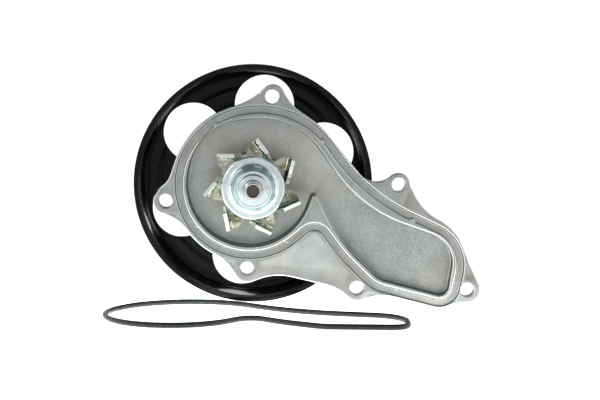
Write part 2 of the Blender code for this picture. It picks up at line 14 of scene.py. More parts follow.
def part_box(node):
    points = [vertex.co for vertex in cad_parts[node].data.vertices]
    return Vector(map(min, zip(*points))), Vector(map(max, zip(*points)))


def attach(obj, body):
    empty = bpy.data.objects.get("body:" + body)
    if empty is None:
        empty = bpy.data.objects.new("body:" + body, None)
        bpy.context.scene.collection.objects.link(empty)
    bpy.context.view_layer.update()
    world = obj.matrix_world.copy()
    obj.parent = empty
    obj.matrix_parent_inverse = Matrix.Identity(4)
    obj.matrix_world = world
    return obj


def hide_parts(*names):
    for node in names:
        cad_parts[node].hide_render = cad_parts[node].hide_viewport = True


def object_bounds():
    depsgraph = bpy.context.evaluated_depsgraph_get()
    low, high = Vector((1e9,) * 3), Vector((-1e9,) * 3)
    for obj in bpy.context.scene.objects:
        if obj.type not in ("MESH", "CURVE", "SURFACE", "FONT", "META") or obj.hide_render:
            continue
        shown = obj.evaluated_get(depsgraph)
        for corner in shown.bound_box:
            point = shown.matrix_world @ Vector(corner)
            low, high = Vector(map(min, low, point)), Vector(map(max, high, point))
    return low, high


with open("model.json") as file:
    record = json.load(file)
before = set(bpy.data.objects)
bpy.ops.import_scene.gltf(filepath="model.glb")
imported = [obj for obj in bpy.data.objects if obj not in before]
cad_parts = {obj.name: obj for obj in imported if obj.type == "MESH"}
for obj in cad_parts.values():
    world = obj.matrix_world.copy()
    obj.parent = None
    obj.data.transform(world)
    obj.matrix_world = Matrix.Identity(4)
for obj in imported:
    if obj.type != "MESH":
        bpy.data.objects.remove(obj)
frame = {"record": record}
cad_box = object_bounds()

MM = 0.001

# Housing: bolt ears as hole centres (x, z) and the way each raised pad runs to the land, degrees
EARS = (
    (9.6, 44.2, -90.0),
    (-43.2, -7.2, 0.0),
    (-3.1, -41.0, 90.0),
    (51.6, -51.0, 50.0),
    (106.7, -52.1, 180.0),
    (72.2, 0.6, -115.0),
)
HOLE_RADIUS = 3.5
PAD_RADIUS = 6.5
PAD_LENGTH = 9.0
BOSS_RADIUS = 5.4
BOSS_BACK = 8.0

# Closed outlines are circles (x, z, radius) joined by common tangents, anticlockwise as seen
# from the engine. A negative radius bends the outline inwards.
CAVITY = (
    (83.6, -38.6, 15.7),
    (100.2, 49.6, -73.0),
    (3.3, -2.8, 36.4),
    (-3.7, 4.3, 28.4),
    (-1.8, 0.7, 31.1),
    (30.4, -6.1, -1.5),
    (106.5, 18.8, 78.0),
    (69.4, -33.9, 14.4),
    (92.6, -49.8, 5.0),
)
TRACK = (
    (82.7, -40.0, 16.7),
    (120.6, 73.4, -102.0),
    (3.1, -5.2, 39.3),
    (0.7, 1.9, 31.9),
    CAVITY[4],
    (30.2, -27.5, -11.0),
    *CAVITY[6:],
)
FLANGE = (
    (106.7, -52.2, 6.6),
    (81.2, -39.6, 25.0),
    (106.2, 8.1, -28.8),
    (72.5, 0.8, 5.4),
    (61.2, 13.1, -11.0),
    (3.7, -2.0, 43.3),
    (31.4, 50.4, -15.5),
    (10.0, 44.3, 6.0),
    (-17.3, 70.0, -31.4),
    (0.7, -0.8, 41.4),
    (-54.5, 11.1, -14.7),
    (-43.2, -7.6, 6.2),
    (-50.0, -34.3, -21.1),
    (-2.3, -0.7, 37.2),
    (-30.5, -54.7, -23.7),
    (-3.1, -41.5, 6.6),
    (12.5, -71.9, -27.3),
    (29.0, -74.8, -26.3),
    (51.8, -50.9, 6.7),
    (64.6, -79.7, -24.6),
    (93.0, -51.1, 10.0),
    (101.5, -68.2, -8.8),
)
FLANGE_BACK = 5.0
GROOVE_OFFSET = 3.85
GROOVE_HALF = 1.87
GROOVE_DEPTH = 2.2
LAND_OFFSET = GROOVE_OFFSET + 4.2
WEB_DROP = 0.8
WEB_SPAN = (220.0, 2.0, 200.0)
WEB_CENTRE_X = 30.0
EAR_CHAMFER_RADIUS = 5.6
NIB_RADIUS = 1.2
NIB_FOOT_RADIUS = 1.7
NIBS = ((-17.8, 30.3), (33.9, 22.0), (78.9, -17.4), (16.5, -27.0), (71.0, -51.1), (-27.9, -19.1))
SHELL_WALL = 3.4
NOSE_RADIUS = 17.5
NOSE_FOOT_RADIUS = 24.5
NOSE_BACK = 45.5
WEEP_Y = 20.8
WEEP_Z = -17.0
WEEP_RADIUS = 2.0
WEEP_LENGTH = 16.0
PLUG_RADIUS = 1.9
PLUG_HALF = 1.2
PLUG_Z = -18.6
RIB_ANGLES = (35.0, 125.0, 215.0, 305.0)
RIB_ROOT = 14.5
RIB_REACH = 30.0
RIB_FOOT_Y = 16.0
RIB_TIP_Y = 19.0
RIB_TOP_Y = 39.5

# The cavity's floor is level under the impeller and rises towards the lobe's far end: (x, depth, slope)
FLOOR = ((18.0, 14.5, 0.0), (50.0, 9.0, -0.1), (104.0, 6.5, 0.0))
FLOOR_CUTS = 28

# How far one cutting surface stays off another, so that no two faces share a plane
SKIM = 0.02

# Longest step along an arc, as an angle and as a length
ANGLE_STEP = math.radians(4.0)
ARC_STEP = 1.6

# A piece that asks for soft edges has every edge sharper than this rounded
BEVEL_ANGLE = math.radians(50.0)


# ---------------------------------------------------------------- shapes

def polar(radius, degrees):
    """A point (x, z) on a circle round the shaft."""
    angle = math.radians(degrees)
    return radius * math.cos(angle), radius * math.sin(angle)


def outline(circles, offset=0.0):
    """Points (x, z) of a closed outline of circles joined by tangents, grown by offset."""
    headings = []
    for here, ahead in zip(circles, circles[1:] + circles[:1]):
        dx = ahead[0] - here[0]
        dz = ahead[1] - here[1]
        lean = math.asin((ahead[2] - here[2]) / math.hypot(dx, dz))
        headings.append(math.atan2(dz, dx) - lean)
    points = []
    for index, (x, z, radius) in enumerate(circles):
        start = headings[index - 1]
        turn = math.copysign(1.0, radius)
        sweep = ((headings[index] - start) * turn) % math.tau
        steps = math.ceil(max(sweep / ANGLE_STEP, sweep * abs(radius) / ARC_STEP))
        for step in range(steps + 1):
            heading = start + turn * sweep * step / steps
            reach = radius + offset
            points.append((x + reach * math.sin(heading), z - reach * math.cos(heading)))
    return points


def soften(points, closed=True, steps=5):
    """Round the corners of a section. A point is (a, b) or (a, b, radius)."""
    result = []
    count = len(points)
    for index, point in enumerate(points):
        here = Vector(point[:2])
        radius = point[2] if len(point) > 2 else 0.0
        if radius == 0.0 or (not closed and index in (0, count - 1)):
            result.append((here.x, here.y))
            continue
        before = Vector(points[index - 1][:2]) - here
        after = Vector(points[(index + 1) % count][:2]) - here
        half = before.angle(after) / 2
        trim = min(radius / math.tan(half), 0.49 * before.length, 0.49 * after.length)
        start = here + before.normalized() * trim
        end = here + after.normalized() * trim
        bulge = math.sin(half)
        for step in range(steps + 1):
            t = step / steps
            weights = ((1 - t) ** 2, 2 * t * (1 - t) * bulge, t * t)
            spot = (start * weights[0] + here * weights[1] + end * weights[2]) / sum(weights)
            result.append((spot.x, spot.y))
    return result


def loft(bm, rings, closed=False):
    """Skin rings of equal length. An open stack gets a flat cap at each end."""
    rows = [[bm.verts.new(point) for point in ring] for ring in rings]
    pairs = list(zip(rows, rows[1:]))
    if closed:
        pairs.append((rows[-1], rows[0]))
    for low, high in pairs:
        for index in range(len(low)):
            follow = (index + 1) % len(low)
            bm.faces.new((low[index], low[follow], high[follow], high[index]))
    if not closed:
        bm.faces.new(rows[0])
        bm.faces.new(rows[-1])
    bmesh.ops.recalc_face_normals(bm, faces=bm.faces)


def stack(circles, section, closed=False):
    """Loft an outline along Y through a softened section of (offset, y, corner radius)."""
    bm = bmesh.new()
    layers = soften(section, closed)
    loft(bm, [[(x, y, z) for x, z in outline(circles, offset)] for offset, y in layers], closed)
    return bm


def turned(section, steps=128, centre=(0.0, 0.0), closed=True):
    """Turn a softened section of (radius, y, corner radius) round an axis along Y."""
    bm = bmesh.new()
    verts = [bm.verts.new((radius, y, 0.0)) for radius, y in soften(section, closed)]
    edges = [bm.edges.new(pair) for pair in zip(verts, verts[1:])]
    if closed:
        edges.append(bm.edges.new((verts[-1], verts[0])))
    bmesh.ops.spin(
        bm, geom=verts + edges, cent=(0, 0, 0), axis=(0, 1, 0), angle=math.tau, steps=steps, use_merge=True
    )
    bmesh.ops.remove_doubles(bm, verts=bm.verts, dist=0.0005)
    bmesh.ops.recalc_face_normals(bm, faces=bm.faces)
    bmesh.ops.translate(bm, vec=(centre[0], 0.0, centre[1]), verts=bm.verts)
    return bm


def merged(*meshes):
    """Put several meshes that don't touch into one."""
    result = meshes[0]
    for other in meshes[1:]:
        spare = bpy.data.meshes.new("spare")
        other.to_mesh(spare)
        other.free()
        result.from_mesh(spare)
        bpy.data.meshes.remove(spare)
    return result


def carve(base, *steps):
    """Apply exact Booleans, each a pair of operation and tool, and give back the result."""
    objects = []
    for bm in (base, *(tool for _, tool in steps)):
        mesh = bpy.data.meshes.new("carve")
        bm.to_mesh(mesh)
        bm.free()
        objects.append(bpy.data.objects.new("carve", mesh))
        bpy.context.scene.collection.objects.link(objects[-1])
    for (operation, _), tool in zip(steps, objects[1:]):
        modifier = objects[0].modifiers.new("carve", "BOOLEAN")
        modifier.operation = operation
        modifier.solver = "EXACT"
        modifier.object = tool
    evaluated = objects[0].evaluated_get(bpy.context.evaluated_depsgraph_get())
    mesh = bpy.data.meshes.new_from_object(evaluated)
    result = bmesh.new()
    result.from_mesh(mesh)
    bpy.data.meshes.remove(mesh)
    for obj in objects:
        spent = obj.data
        bpy.data.objects.remove(obj)
        bpy.data.meshes.remove(spent)
    return result


def piece(name, bm, finish, node, sharp=32.0, edge=0.0):
    """Make a smooth-shaded piece in metres that stands for a CAD node and rides with its body."""
    bmesh.ops.scale(bm, vec=(MM, MM, MM), verts=bm.verts)
    mesh = bpy.data.meshes.new(name)
    bm.to_mesh(mesh)
    bm.free()
    mesh.shade_smooth()
    mesh.set_sharp_from_angle(angle=math.radians(sharp))
    mesh.materials.append(finish)
    obj = bpy.data.objects.new(name, mesh)
    bpy.context.scene.collection.objects.link(obj)
    if edge > 0.0:
        rounded = obj.modifiers.new("soft_edges", "BEVEL")
        rounded.width = edge * MM
        rounded.segments = 2
        rounded.limit_method = "ANGLE"
        rounded.angle_limit = BEVEL_ANGLE
    weighted = obj.modifiers.new("even_normals", "WEIGHTED_NORMAL")
    weighted.keep_sharp = True
    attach(obj, BODY_OF[node])
    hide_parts(node)


# ---------------------------------------------------------------- finishes

class Nodes:
    """Short ways to add nodes to a tree."""

    def __init__(self, tree):
        self.tree = tree

    def node(self, kind, **settings):
        made = self.tree.nodes.new(kind)
        for key, value in settings.items():
            setattr(made, key, value)
        return made

    def link(self, output, target):
        self.tree.links.new(output, target)

    def maths(self, operation, a, b=0.0):
        """A maths node on one or two values, each a number or an output."""
        made = self.node("ShaderNodeMath", operation=operation)
        for socket, value in zip(made.inputs, (a, b)):
            if isinstance(value, float):
                socket.default_value = value
            else:
                self.link(value, socket)
        return made.outputs["Value"]

    def span(self, value, low, high, to_low=0.0, to_high=1.0):
        """Map a value's range smoothly onto another, clamped."""
        made = self.node("ShaderNodeMapRange", interpolation_type="SMOOTHSTEP")
        for socket, number in zip(made.inputs[1:5], (low, high, to_low, to_high)):
            socket.default_value = number
        self.link(value, made.inputs["Value"])
        return made.outputs["Result"]

    def mix(self, factor, a, b):
        """Blend two colours, each a colour or an output."""
        made = self.node("ShaderNodeMix", data_type="RGBA")
        self.link(factor, made.inputs["Factor"])
        for socket, value in zip((made.inputs[6], made.inputs[7]), (a, b)):
            if isinstance(value, tuple):
                socket.default_value = (*value, 1.0)
            else:
                self.link(value, socket)
        return made.outputs[2]


class Finish(Nodes):
    """A procedural material on a Principled shader, textured in the piece's own space."""

    def __init__(self, name, metallic, **sockets):
        self.material = bpy.data.materials.new(name)
        self.material.use_nodes = True
        super().__init__(self.material.node_tree)
        self.shader = self.tree.nodes["Principled BSDF"]
        self.shader.inputs["Metallic"].default_value = metallic
        for socket, value in sockets.items():
            self.shader.inputs[socket.replace("_", " ")].default_value = value
        coordinates = self.node("ShaderNodeTexCoord")
        self.place = coordinates.outputs["Object"]
        self.normal = coordinates.outputs["Normal"]

    def noise(self, size, detail=3.0, roughness=0.6):
        """Noise whose grains are about size millimetres across, from 0 to 1."""
        made = self.node("ShaderNodeTexNoise")
        made.inputs["Scale"].default_value = 1.0 / (size * MM)
        made.inputs["Detail"].default_value = detail
        made.inputs["Roughness"].default_value = roughness
        self.link(self.place, made.inputs["Vector"])
        return made.outputs["Fac"]

    def rings(self, size, detail=2.0):
        """Fine circular marks round the shaft's axis, about size millimetres apart, from 0 to 1."""
        made = self.node("ShaderNodeTexNoise", noise_dimensions="1D")
        made.inputs["Scale"].default_value = 1.0
        made.inputs["Detail"].default_value = detail
        self.link(self.maths("MULTIPLY", self.radius(), 1.0 / (size * MM)), made.inputs["W"])
        return made.outputs["Fac"]

    def part(self, axis):
        """One of the place's coordinates, in metres."""
        split = self.node("ShaderNodeSeparateXYZ")
        self.link(self.place, split.inputs["Vector"])
        return split.outputs[axis]

    def vector(self, operation, a, b=None):
        """A vector node on an output and a constant or a second output."""
        made = self.node("ShaderNodeVectorMath", operation=operation)
        self.link(a, made.inputs[0])
        if isinstance(b, tuple):
            made.inputs[1].default_value = b
        elif b is not None:
            self.link(b, made.inputs[1])
        return made

    def from_axis(self):
        """The place measured from the shaft's axis, without its share along the axis."""
        return self.vector("MULTIPLY", self.place, (1.0, 0.0, 1.0)).outputs["Vector"]

    def radius(self):
        """Distance from the shaft's axis, in metres."""
        return self.vector("LENGTH", self.from_axis()).outputs["Value"]

    def outward(self):
        """How far the surface faces away from the shaft's axis, from -1 (towards it) to 1."""
        unit = self.vector("NORMALIZE", self.from_axis()).outputs["Vector"]
        return self.vector("DOT_PRODUCT", unit, self.normal).outputs["Value"]

    def facing(self):
        """How squarely the surface faces along the shaft, from 0 to 1."""
        split = self.node("ShaderNodeSeparateXYZ")
        self.link(self.normal, split.inputs["Vector"])
        return self.maths("ABSOLUTE", split.outputs["Y"])

    def bump(self, height, strength, depth):
        """Bump the surface by depth millimetres."""
        made = self.node("ShaderNodeBump")
        made.inputs["Strength"].default_value = strength
        made.inputs["Distance"].default_value = depth * MM
        self.link(height, made.inputs["Height"])
        if self.shader.inputs["Normal"].is_linked:
            self.link(self.shader.inputs["Normal"].links[0].from_socket, made.inputs["Normal"])
        self.link(made.outputs["Normal"], self.shader.inputs["Normal"])

    def colour(self, output):
        self.link(output, self.shader.inputs["Base Color"])

    def rough(self, output):
        self.link(output, self.shader.inputs["Roughness"])


def cast_aluminium():
    """Die-cast grey with a fine grain and cloudy patches, darker towards the bottom, with painted shade
    round the hub and on steep walls and front rims, and painted highlights on its edges.
    """
    made = Finish("cast_aluminium", metallic=0.9)
    patches = made.span(made.noise(9.0, 4.0, 0.65), 0.35, 0.68)
    warm = made.mix(patches, (0.375, 0.375, 0.35), (0.465, 0.465, 0.44))
    cool = made.mix(patches, (0.365, 0.40, 0.385), (0.445, 0.485, 0.47))
    tone = made.mix(made.span(made.noise(38.0, 2.0), 0.4, 0.6), warm, cool)
    # dark pores and bright specks
    grain = made.noise(0.55, 3.0, 0.75)
    tone = made.mix(made.span(grain, 0.32, 0.48, 0.8, 0.0), tone, (0.24, 0.24, 0.225))
    tone = made.mix(made.span(grain, 0.54, 0.68, 0.0, 0.8), tone, (0.82, 0.83, 0.81))
    # paler deep in the cavity, painted shade round the hub under the impeller, and darker towards the bottom
    tone = made.mix(made.span(made.part("Y"), 8.0 * MM, 12.0 * MM, 0.0, 0.42), tone, (0.78, 0.80, 0.76))
    tone = made.mix(made.span(made.radius(), 17.0 * MM, 29.0 * MM, 0.3, 0.0), tone, (0.20, 0.20, 0.18))
    tone = made.mix(made.span(made.part("Z"), -26.0 * MM, -46.0 * MM, 0.0, 0.3), tone, (0.24, 0.26, 0.25))
    # painted highlights on the edge fillets
    tone = made.mix(made.span(made.facing(), 0.97, 0.86, 0.0, 0.8), tone, (0.97, 0.98, 0.96))
    # painted shade, dark teal, on the steep walls of the cavity and the groove and on front rims
    inner = made.span(made.outward(), 0.25, 0.5, 1.0, 0.0)
    before_nose = made.span(made.part("Y"), 15.0 * MM, 16.0 * MM, 1.0, 0.0)
    rims = made.span(made.part("Y"), 1.2 * MM, 2.0 * MM, 1.0, 0.0)
    painted_shade_zones = made.maths("MAXIMUM", made.maths("MULTIPLY", inner, before_nose), rims)
    steep = made.span(made.facing(), 0.2, 0.72, 0.88, 0.0)
    tone = made.mix(made.maths("MULTIPLY", painted_shade_zones, steep), tone, (0.05, 0.08, 0.08))
    made.colour(tone)
    made.rough(made.span(made.noise(4.0, 3.0), 0.3, 0.7, 0.35, 0.48))
    made.bump(made.noise(0.5, 3.0, 0.7), 0.35, 0.05)
    made.bump(made.noise(6.0, 2.0), 0.12, 0.4)
    return made.material


def bright_zinc():
    """Bright blue-white zinc plate, with painted shade on steep sides, which are darker and bluer."""
    made = Finish("bright_zinc", metallic=0.75)
    tone = made.mix(made.span(made.noise(5.0, 3.0), 0.35, 0.65), (0.74, 0.83, 0.85), (0.90, 0.96, 0.97))
    # painted shade: steep sides darker and bluer
    made.colour(made.mix(made.span(made.facing(), 0.4, 0.95, 0.85, 0.0), tone, (0.22, 0.38, 0.39)))
    made.rough(made.span(made.noise(2.5, 3.0), 0.3, 0.7, 0.16, 0.24))
    made.bump(made.noise(3.0, 2.0), 0.12, 0.03)
    return made.material


def yellow_zinc():
    """Yellow-passivated zinc plate on stamped sheet: olive to grey, with painted highlights that make the
    bends and vane ends pale.
    """
    made = Finish("yellow_zinc", metallic=1.0)
    drift = made.span(made.noise(7.0, 3.0, 0.6), 0.35, 0.65)
    tone = made.mix(drift, (0.22, 0.21, 0.14), (0.66, 0.67, 0.55))
    stain = made.span(made.noise(2.2, 4.0, 0.7), 0.50, 0.72, 0.0, 0.6)
    tone = made.mix(stain, tone, (0.20, 0.20, 0.13))
    # painted highlights: paler on the bends and other steep sides
    tone = made.mix(made.span(made.facing(), 0.55, 0.85, 0.9, 0.0), tone, (0.92, 0.94, 0.87))
    # painted highlight: the vane ends near white
    made.colour(made.mix(made.span(made.part("Y"), -12.0 * MM, -12.6 * MM), tone, (0.97, 0.98, 0.94)))
    made.rough(made.span(made.noise(1.5, 3.0), 0.3, 0.7, 0.10, 0.2))
    made.bump(made.noise(4.5, 1.0), 0.6, 0.4)
    return made.material


def black_paint():
    """Gloss black paint, slightly wavy, with a few specks of dust."""
    made = Finish("black_paint", metallic=0.0, Specular_IOR_Level=0.2)
    dust = made.span(made.noise(0.5, 3.0, 0.8), 0.7, 0.8, 0.0, 0.4)
    cloud = made.span(made.noise(14.0, 3.0), 0.35, 0.7)
    tone = made.mix(cloud, (0.0022, 0.0030, 0.0026), (0.0045, 0.0055, 0.005))
    made.colour(made.mix(dust, tone, (0.05, 0.05, 0.048)))
    made.rough(made.span(made.noise(5.0, 3.0), 0.3, 0.7, 0.06, 0.13))
    made.bump(made.noise(6.0, 1.0), 0.05, 0.05)
    return made.material


def black_rubber():
    """Moulded rubber, dark greenish grey, with a dusty bloom."""
    made = Finish("black_rubber", metallic=0.0)
    bloom = made.span(made.noise(3.0, 4.0, 0.7), 0.4, 0.7)
    made.colour(made.mix(bloom, (0.012, 0.017, 0.017), (0.034, 0.044, 0.043)))
    made.rough(made.span(made.noise(1.2, 3.0), 0.3, 0.7, 0.32, 0.5))
    made.bump(made.noise(0.4, 3.0), 0.2, 0.02)
    return made.material


def ground_steel():
    """Turned and ground steel with fine circular marks."""
    made = Finish("ground_steel", metallic=1.0)
    tone = made.mix(made.rings(0.3, 3.0), (0.50, 0.51, 0.51), (0.66, 0.66, 0.65))
    made.colour(made.mix(made.span(made.noise(6.0, 3.0), 0.4, 0.7, 0.0, 0.5), tone, (0.46, 0.45, 0.43)))
    made.rough(made.span(made.noise(2.0, 3.0), 0.3, 0.7, 0.2, 0.36))
    made.bump(made.rings(0.25, 3.0), 0.3, 0.01)
    return made.material


def shaft_steel():
    """The shaft: ground steel, with a dull dark recess in its engine end."""
    made = Finish("shaft_steel", metallic=1.0)
    inside = made.span(made.radius(), 3.15 * MM, 3.05 * MM)
    deep = made.span(made.part("Y"), -26.0 * MM, -26.2 * MM)
    recess = made.maths("MULTIPLY", inside, deep)
    tone = made.mix(made.rings(0.3, 3.0), (0.55, 0.56, 0.55), (0.72, 0.72, 0.70))
    dull = made.mix(made.noise(0.6, 3.0), (0.10, 0.10, 0.085), (0.16, 0.16, 0.14))
    made.colour(made.mix(recess, tone, dull))
    made.rough(made.span(recess, 0.0, 1.0, 0.22, 0.6))
    made.bump(made.rings(0.25, 3.0), 0.3, 0.01)
    return made.material


def ball_steel():
    """Polished bearing steel."""
    made = Finish("ball_steel", metallic=1.0)
    made.colour(made.mix(made.noise(1.0, 2.0), (0.60, 0.60, 0.59), (0.70, 0.70, 0.69)))
    made.rough(made.span(made.noise(0.5, 3.0), 0.3, 0.7, 0.05, 0.12))
    return made.material


def carbon():
    """Lapped carbon graphite."""
    made = Finish("carbon", metallic=0.0)
    made.colour(made.mix(made.noise(0.5, 4.0), (0.018, 0.018, 0.02), (0.05, 0.05, 0.053)))
    made.rough(made.span(made.noise(1.0, 3.0), 0.3, 0.7, 0.3, 0.5))
    made.bump(made.rings(0.2), 0.15, 0.01)
    return made.material


def ceramic():
    """Lapped cream ceramic."""
    made = Finish("ceramic", metallic=0.0)
    made.colour(made.mix(made.noise(1.5, 4.0), (0.66, 0.62, 0.54), (0.78, 0.75, 0.68)))
    made.rough(made.span(made.noise(1.0, 3.0), 0.3, 0.7, 0.22, 0.4))
    made.bump(made.noise(0.3, 2.0), 0.1, 0.01)
    return made.material


def cage_polymer():
    """Brown glass-filled cage plastic."""
    made = Finish("cage_polymer", metallic=0.0)
    made.colour(made.mix(made.noise(0.8, 4.0), (0.09, 0.05, 0.02), (0.16, 0.095, 0.045)))
    made.rough(made.span(made.noise(0.6, 3.0), 0.3, 0.7, 0.42, 0.6))
    made.bump(made.noise(0.5, 3.0), 0.2, 0.02)
    return made.material


# ---------------------------------------------------------------- housing

def floor_depth(x):
    """Depth of the cavity's floor at a given x: a smooth curve through FLOOR's depths and slopes."""
    if x <= FLOOR[0][0]:
        return FLOOR[0][1]
    for (x0, y0, slope0), (x1, y1, slope1) in zip(FLOOR, FLOOR[1:]):
        if x <= x1:
            span = x1 - x0
            t = (x - x0) / span
            rise = (2 * t ** 3 - 3 * t ** 2 + 1) * y0 + (3 * t ** 2 - 2 * t ** 3) * y1
            return rise + span * ((t ** 3 - 2 * t ** 2 + t) * slope0 + (t ** 3 - t ** 2) * slope1)
    return FLOOR[-1][1]


def follow_floor(bm, threshold, extra):
    """Bend what lies beyond Y = threshold so that it follows the cavity's sloping floor."""
    start = FLOOR[0][0]
    for step in range(FLOOR_CUTS):
        x = start + (FLOOR[-1][0] - start) * step / FLOOR_CUTS
        whole = list(bm.verts) + list(bm.edges) + list(bm.faces)
        bmesh.ops.bisect_plane(bm, geom=whole, plane_co=(x, 0, 0), plane_no=(1, 0, 0), dist=0.001)
    for vert in bm.verts:
        if vert.co.y > threshold:
            vert.co.y += floor_depth(vert.co.x) - FLOOR[0][1] + extra


def raised(offset):
    """Section of a raised land or pad on the flange, with a softened edge and foot."""
    return (
        (offset - 1.5, -1.5), (offset - 1.5, -SKIM), (offset - 0.4, -SKIM, 0.6),
        (offset + 0.6, WEB_DROP + SKIM, 0.4), (offset + 1.6, WEB_DROP + SKIM), (offset + 1.6, 2.0),
    )


def web_panels():
    """What is cut away to lower the flange between its land and its bolt pads."""
    box = bmesh.new()
    bmesh.ops.create_cube(box, size=1.0)
    bmesh.ops.scale(box, vec=WEB_SPAN, verts=box.verts)
    bmesh.ops.translate(box, vec=(WEB_CENTRE_X, WEB_DROP - WEB_SPAN[1] / 2, 0.0), verts=box.verts)
    face = WEB_DROP - SKIM
    edge = ((-2.4, -0.9), (-2.4, face), (0.0, face, 0.8), (0.0, 2.4), (2.0, 2.4), (2.0, -0.9))
    brim = stack(FLANGE, edge, closed=True)
    steps = [("UNION", brim), ("DIFFERENCE", stack(TRACK, raised(LAND_OFFSET)))]
    for x, z, degrees in EARS:
        dx, dz = polar(PAD_LENGTH, degrees)
        ends = ((x, z, PAD_RADIUS), (x + dx, z + dz, PAD_RADIUS))
        steps.append(("DIFFERENCE", stack(ends, raised(0.0))))
    return carve(box, *steps)


def groove():
    """The seal groove, narrowed by small nibs that hold the ring."""
    half = GROOVE_HALF
    section = (
        (-half - 2.3, -1.0), (-half - 2.3, -SKIM), (-half - 0.1, -SKIM, 1.1),
        (-half + 0.4, GROOVE_DEPTH, 0.6), (half - 0.4, GROOVE_DEPTH, 0.6),
        (half + 0.1, -SKIM, 0.8), (half + 1.8, -SKIM), (half + 1.8, -1.0),
    )
    ring = stack(TRACK, [(GROOVE_OFFSET + side, *rest) for side, *rest in section], closed=True)
    post = ((0.0, 0.25), (NIB_RADIUS, 0.25, 0.4), (NIB_FOOT_RADIUS, 3.4), (0.0, 3.4))
    nibs = merged(*(turned(post, 28, nib, closed=False) for nib in NIBS))
    return carve(ring, ("DIFFERENCE", nibs))


def ribs():
    """Four webs between the nose and the back of the shell, with rounded crests."""
    plates = []
    for degrees in RIB_ANGLES:
        rings = []
        for side, drop in ((-1.8, 0.9), (-1.6, 0.4), (-1.1, 0.0), (1.1, 0.0), (1.6, 0.4), (1.8, 0.9)):
            tip = RIB_REACH - drop
            corners = (
                (RIB_ROOT, RIB_FOOT_Y), (tip, RIB_FOOT_Y), (tip, RIB_TIP_Y - drop),
                (RIB_ROOT, RIB_TOP_Y - 1.6 * drop),
            )
            rings.append([(radius, y, side) for radius, y in corners])
        plate = bmesh.new()
        loft(plate, rings)
        bmesh.ops.rotate(plate, matrix=Matrix.Rotation(math.radians(degrees), 3, "Y"), verts=plate.verts)
        plates.append(plate)
    return merged(*plates)


def pump_housing(finish):
    """The casting: flange, shell, bolt bosses and nose, then everything cut out of it."""
    flange = stack(
        FLANGE, ((-1.6, 0.0), (0.0, 0.0, 0.8), (0.0, FLANGE_BACK, 0.6), (-1.6, FLANGE_BACK))
    )
    back = FLOOR[0][1]
    wall = GROOVE_OFFSET
    shell = stack(TRACK, (
        (wall + 2.6, 3.5), (wall + 2.6, FLANGE_BACK - SKIM), (wall, FLANGE_BACK - SKIM, 2.0),
        (wall - 0.8, back, 2.4), (wall - 5.0, back),
    ))
    follow_floor(shell, 9.5, SHELL_WALL)
    boss = ((0.0, 3.5), (BOSS_RADIUS, 3.5), (BOSS_RADIUS, BOSS_BACK, 0.5), (0.0, BOSS_BACK))
    bosses = merged(*(turned(boss, 48, (x, z), closed=False) for x, z, _ in EARS))
    nose = turned((
        (0.0, NOSE_BACK), (NOSE_RADIUS, NOSE_BACK, 1.0), (20.8, 18.0, 3.0), (NOSE_FOOT_RADIUS, 17.85),
        (NOSE_FOOT_RADIUS, 15.5), (0.0, 15.5),
    ), 96, closed=False)
    cavity = stack(CAVITY, (
        (2.4, -1.0), (2.4, -SKIM), (0.0, -SKIM, 0.9), (-0.2, back, 0.4), (-6.0, back),
    ))
    follow_floor(cavity, 7.5, 0.0)
    drill = (
        (0.0, -2.0), (EAR_CHAMFER_RADIUS, -2.0), (HOLE_RADIUS, 0.55), (HOLE_RADIUS, BOSS_BACK - 0.5),
        (EAR_CHAMFER_RADIUS, BOSS_BACK + 2.0), (0.0, BOSS_BACK + 2.0),
    )
    holes = merged(*(turned(drill, 48, (x, z), closed=False) for x, z, _ in EARS))
    # from the back: the bearing's seat, the neck and the face seal's seat
    bores = turned((
        (0.0, 47.0), (14.6, 47.0), (13.04, 44.9), (13.04, 22.2), (11.5, 22.2), (11.5, 19.6), (15.0, 19.6),
        (15.0, 14.9), (17.4, 12.5), (0.0, 12.5),
    ), 96, closed=False)
    weep = bmesh.new()
    bmesh.ops.create_cone(
        weep, cap_ends=True, segments=32, radius1=WEEP_RADIUS, radius2=WEEP_RADIUS, depth=WEEP_LENGTH,
        matrix=Matrix.Translation((0.0, WEEP_Y, WEEP_Z)),
    )
    casting = carve(
        flange, ("UNION", shell), ("UNION", bosses), ("UNION", nose), ("UNION", ribs()),
        ("DIFFERENCE", cavity), ("DIFFERENCE", groove()), ("DIFFERENCE", web_panels()),
        ("DIFFERENCE", holes), ("DIFFERENCE", bores), ("DIFFERENCE", weep),
    )
    piece("cast_body", casting, finish, "pump_housing")


# ---------------------------------------------------------------- impeller

VANES = 7
VANE_TIP = 24.5
VANE_ROOT = 18.3
VANE_SWEEP = 22.0
VANE_PHASE = 84.5
VANE_FRONT = -13.0
STEP_FRONT = -7.8
STEP_END = 1.5
ROOT_REACH = 1.9
SHEET = 1.6
PLATE_FRONT = -3.7
PLATE_RADIUS = 16.4
PLATE_SLOPE = 0.17
SLOPE_START = 14.5
BEND = 2.8
BEND_STEPS = 8
CROWN = 0.010
CROWN_STEPS = 10
CROWN_STEP = 1.3
LENGTH_STEPS = 8

# Corners of a petal's outer and hub edges: (distance from the axis, degrees from the vane's tip, rounding)
PETAL_EDGE = (
    (21.6, 11.0, 0.7),
    (17.6, 14.8, 0.7),
    (PLATE_RADIUS - 0.4, 17.2, 0.0),
    (13.0, 17.2, 0.0),
    (13.0, -33.0, 0.0),
    (PLATE_RADIUS - 0.2, -31.0, 0.0),
)
LENS_RADIUS = 17.1
LENS_TURN = 2.0
LENS_SIZE = (2.3, 0.88, 0.95)
COLLAR_BORE = 4.7


